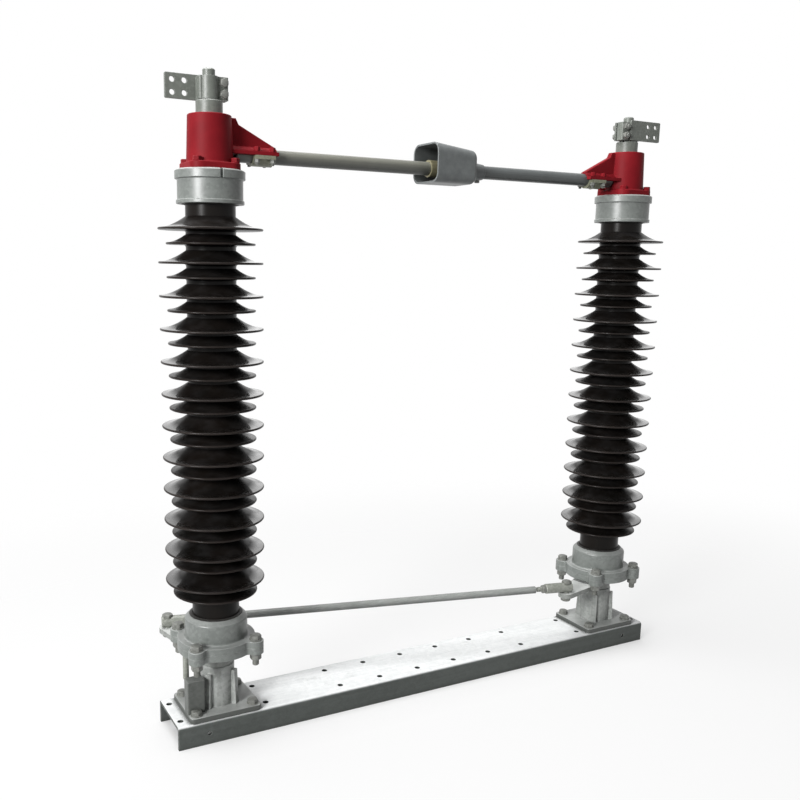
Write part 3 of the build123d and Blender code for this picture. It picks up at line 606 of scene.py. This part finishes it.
def addColumnBolts(side):
    axis = axisOf[side]
    inward = towardMiddle[side]
    column = side + "_column"
    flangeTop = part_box(side + "_bottom_fitting")[0].z + earBolt["flange"]
    feet = [axis + np.array([earBolt["circle"] * cos(a), earBolt["circle"] * sin(a), flangeTop])
            for a in radians(45) + np.arange(4) * pi / 2]
    grids = boltSet(earBolt, feet, (0, 0, 1), earBolt["flange"] + earBolt["plate"])
    addPiece(side + "_ear_bolts", grids, boltSteel, column)
    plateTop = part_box(side + "_bearing_housing")[0].z + baseBolt["plate"]
    feet = corners(axis, baseBolt["reachX"], baseBolt["reachY"], plateTop)
    grids = boltSet(baseBolt, feet, (0, 0, 1), baseBolt["plate"] + baseBolt["wall"])
    addPiece(side + "_base_bolts", grids, boltSteel, "base")
    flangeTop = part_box(side + "_head")[0].z + headBolt["flange"]
    feet = corners(axis, headBolt["reach"], headBolt["reach"], flangeTop)
    grids = boltSet(headBolt, feet, (0, 0, 1), 0, False)
    addPiece(side + "_head_bolts", grids, boltRed, column)
    bladeLow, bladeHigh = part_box(side + "_blade")
    earTop = (bladeLow.z + bladeHigh.z) / 2 + saddleBolt["ear"]
    feet = [axis + np.array([inward * reach, y * saddleBolt["offset"], earTop])
            for reach in saddleBolt["reaches"] for y in (-1, 1)]
    grids = boltSet(saddleBolt, feet, (0, 0, 1), 2 * saddleBolt["ear"])
    addPiece(side + "_saddle_heads", grids[:2], boltRed, column)
    addPiece(side + "_saddle_nuts", grids[2:], boltSteel, column)
    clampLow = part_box(side + "_terminal_clamp")[0].z
    foot = axis + np.array([inward * pinchBolt["reach"], -inward * pinchBolt["front"], clampLow])
    feet = [foot + up * rise for rise in pinchBolt["rises"]]
    grids = boltSet(pinchBolt, feet, (0, -inward, 0), pinchBolt["front"] + pinchBolt["back"])
    addPiece(side + "_pinch_bolts", grids, boltSteel, side + "_terminal")


for side in sides:
    addColumnBolts(side)
print("bolts done")


# The cross link's fasteners: a head on each rod end, a washer and nut below, a lock nut on the thread
linkPin = {"hole": 0.0162, "washer": 0.030, "washerThickness": 0.0025, "flats": 0.024, "nut": 0.009,
           "head": 0.0065, "lift": 0.013, "below": 0.028, "lockFlats": 0.022, "lockNut": 0.009,
           "lockStart": 0.0675, "thread": 0.0146, "pitch": 0.002, "threadStart": 0.0672,
           "threadLength": 0.0238}


def addLinkPins(p):
    leftEye, rightEye = (np.array([j["pos_m"] for j in frame["joints"] if j["child"] == body][0])
                         for body in ("link_rod", "right_rod_end"))
    along = (rightEye - leftEye) / np.linalg.norm(rightEye - leftEye)
    flat = washer(p["hole"], p["washer"], p["washerThickness"])
    nut = hexBar(p["flats"], p["nut"], True, True) + up * p["washerThickness"]
    head = hexBar(p["flats"], p["head"], False, True)
    for side, eye, body in zip(sides, (leftEye, rightEye), ("link_rod", "right_rod_end")):
        under = [eye - up * p["below"]]
        grids = [(placed(flat, under, [(0, 0, -1)]), True), (placed(nut, under, [(0, 0, -1)]), False),
                 (placed(head, [eye + up * p["lift"]], [(0, 0, 1)]), False)]
        addPiece(side + "_link_pin", grids, boltSteel, body)
    lock = hexBar(p["lockFlats"], p["lockNut"], True, True)
    thread = threaded(p["thread"], p["threadLength"], p["pitch"])
    grids = [(placed(lock, [rightEye - along * p["lockStart"]], [-along]), False),
             (placed(thread, [rightEye - along * p["threadStart"]], [-along]), False)]
    addPiece("link_lock_nut", grids, boltSteel, "right_rod_end")


addLinkPins(linkPin)

# Contact details: a bolt and a bowed leaf spring on each finger
fingerTrim = {"pitch": 0.016, "rows": (-1, 0, 1), "tipLift": 0.004, "boltBack": 0.0055, "flats": 0.008,
              "head": 0.0035, "springWidth": 0.009, "springThickness": 0.0009, "springFront": 0.014,
              "springBack": 0.001, "flatLead": 0.45, "bow": 0.0032}


# A leaf spring: a flat section carried along a straight, then along a half wave of the bow's height
def addContactTrim(p):
    for name, direction in (("upper", 1), ("lower", -1)):
        low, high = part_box(name + "_fingers")
        face = (high.z - p["tipLift"]) if direction > 0 else (low.z + p["tipLift"])
        bolt = hexBar(p["flats"], p["head"], False, True, 24)
        boltFoot = face + direction * p["springThickness"]
        feet = [(high.x - p["boltBack"], row * p["pitch"], boltFoot) for row in p["rows"]]
        share = np.linspace(0, 1, 18)
        wave = np.sin(pi * np.clip(share * (1 + p["flatLead"]) - p["flatLead"], 0, 1))
        routeX = high.x - p["springBack"] + (low.x + p["springFront"] - high.x) * share
        routeZ = face + direction * (p["springThickness"] / 2 + p["bow"] * wave)
        half, thin = p["springWidth"] / 2, p["springThickness"] / 2
        section = np.array([(-half, -thin), (half, -thin), (half, thin), (-half, thin)])
        leaf = carried(np.stack([routeX, 0 * share, routeZ], -1), section)
        leaves = np.stack([leaf + np.array([0, row * p["pitch"], 0]) for row in p["rows"]])
        grids = [(placed(bolt, feet, [(0, 0, direction)] * len(feet)), False), (leaves, False)]
        addPiece(name + "_finger_springs", grids, boltSteel, "right_column")


addContactTrim(fingerTrim)


# A screw under the hood's sleeve
sleeveScrew = {"x": 0.1035, "drop": 0.0185, "flats": 0.011, "length": 0.0078}


def addSleeveScrew(p):
    low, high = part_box("right_blade")
    foot = (p["x"], (low.y + high.y) / 2, (low.z + high.z) / 2 - p["drop"])
    screw = placed(hexBar(p["flats"], p["length"], False, True, 24), [foot], [(0, 0, -1)])
    addPiece("sleeve_screw", [(screw, False)], boltSteel, "right_column")


addSleeveScrew(sleeveScrew)

# Welds: round each crank's neck, on its lever and under the turning plate
beads = {"neck": 0.040, "neckBead": 0.0042, "plateBead": 0.004, "leverDrop": 0.007, "sharp": 80}


def addWelds(p):
    for side in sides:
        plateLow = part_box(side + "_turning_plate")[0].z
        lever = weld(circlePath(axisOf[side], p["neck"], plateLow - p["leverDrop"]), p["neckBead"])[:-1]
        under = weld(circlePath(axisOf[side], p["neck"], plateLow), p["plateBead"])[:-1]
        addPiece(side + "_crank_welds", [(lever, True), (under, True)], finishes["zinc_steel"],
                 side + "_column", p["sharp"])


addWelds(beads)
print("link, contact and welds done")


# Camera at the photograph's place: turned to the right, looking a little down
view = {"place": (-1.2531, -1.9129, 1.1148), "yaw": 0.480, "pitch": 0.189, "roll": 0.015, "lens": 39.99,
        "sensor": 36.0, "shift": (0.0671, 0.0398)}


def addCamera(p):
    look = Vector((sin(p["yaw"]) * cos(p["pitch"]), cos(p["yaw"]) * cos(p["pitch"]), -sin(p["pitch"])))
    level = Vector((cos(p["yaw"]), -sin(p["yaw"]), 0))
    head = level.cross(look)
    right = level * cos(p["roll"]) + head * sin(p["roll"])
    top = head * cos(p["roll"]) - level * sin(p["roll"])
    data = bpy.data.cameras.new("photo_camera")
    data.sensor_width = p["sensor"]
    data.lens = p["lens"]
    data.shift_x, data.shift_y = p["shift"]
    camera = bpy.data.objects.new("photo_camera", data)
    turn = Matrix((right, top, -look)).transposed().to_4x4()
    camera.matrix_world = Matrix.Translation(p["place"]) @ turn
    bpy.context.scene.collection.objects.link(camera)
    bpy.context.scene.camera = camera


# Lamps: a wide soft one overhead, a key from the left, a faint one behind the object
lamps = {
    "overhead": {"place": (-0.8, 0.3, 3.4), "aim": (0, 0, 0.4), "size": 2.2, "power": 115.0},
    "left": {"place": (-4.9, -2.3, 2.4), "aim": (0, 0, 1.0), "size": 1.8, "power": 390.0},
    "back": {"place": (1.4, 3.0, 2.4), "aim": (0, 0, 0.8), "size": 2.4, "power": 5.0},
}


def addLamps(p):
    for name, lamp in p.items():
        data = bpy.data.lights.new(name, "AREA")
        data.shape = "DISK"
        data.size = lamp["size"]
        data.energy = lamp["power"]
        light = bpy.data.objects.new(name, data)
        aim = Vector(lamp["aim"]) - Vector(lamp["place"])
        turn = aim.to_track_quat("-Z", "Y").to_matrix().to_4x4()
        light.matrix_world = Matrix.Translation(lamp["place"]) @ turn
        bpy.context.scene.collection.objects.link(light)


def seenDirectly(tree):  # 1 where the eye, a gloss or a glass looks, 0 where a surface gathers light
    path = tree.nodes.new("ShaderNodeLightPath")
    kinds = ("Camera", "Glossy", "Transmission")
    camera, gloss, through = (Wire(tree, path.outputs["Is " + kind + " Ray"]) for kind in kinds)
    return camera.node("ShaderNodeClamp", None, {0: camera + gloss + through})


# White to the eye; a dimmer grey where the world lights the object
worldLook = {"light": 0.11}


def addWorld(p):
    world = bpy.data.worlds.new("studio")
    world.use_nodes = True
    world.node_tree.nodes.clear()
    seen = seenDirectly(world.node_tree)
    strength = p["light"] + seen * (1 - p["light"])
    sky = seen.node("ShaderNodeBackground", None, {"Color": (1, 1, 1, 1), "Strength": strength})
    seen.node("ShaderNodeOutputWorld", None, {"Surface": sky})
    bpy.context.scene.world = world


# A pale floor that fades to the white round it; the eye sees it paler than the light does, except in corners
floorLook = {"reach": 6.0, "colour": (0.66, 0.66, 0.66, 1), "squeeze": (0.75, 1.0, 1.0), "fadeFrom": 0.8,
             "fadeTo": 2.2, "white": 0.8, "corner": 0.12, "samples": 8}


def addFloor(p):
    mesh = bpy.data.meshes.new("floor")
    r = p["reach"]
    mesh.from_pydata([(-r, -r, 0), (r, -r, 0), (r, r, 0), (-r, r, 0)], [], [(0, 1, 2, 3)])
    material, place = startFinish("floor")
    oval = stretched(place, p["squeeze"])
    distance = place.node("ShaderNodeVectorMath", {"operation": "LENGTH"}, {0: oval}, "Value")
    fade = step(distance, p["fadeFrom"], p["fadeTo"])
    matt = place.node("ShaderNodeBsdfDiffuse", None, {"Color": p["colour"]})
    white = place.node("ShaderNodeEmission", None, {"Strength": 1.0})
    lift = seenDirectly(place.tree) * openness(place, p["corner"], p["samples"]) * p["white"]
    lifted = place.node("ShaderNodeMixShader", None, {0: lift, 1: matt, 2: white})
    clear = place.node("ShaderNodeBsdfTransparent")
    surface = place.node("ShaderNodeMixShader", None, {0: fade, 1: lifted, 2: clear})
    place.node("ShaderNodeOutputMaterial", None, {"Surface": surface})
    mesh.materials.append(material)
    floor = bpy.data.objects.new("floor", mesh)
    bpy.context.scene.collection.objects.link(floor)


addCamera(view)
addLamps(lamps)
addWorld(worldLook)
addFloor(floorLook)
bpy.context.scene.view_settings.view_transform = "Standard"
print("stage done")
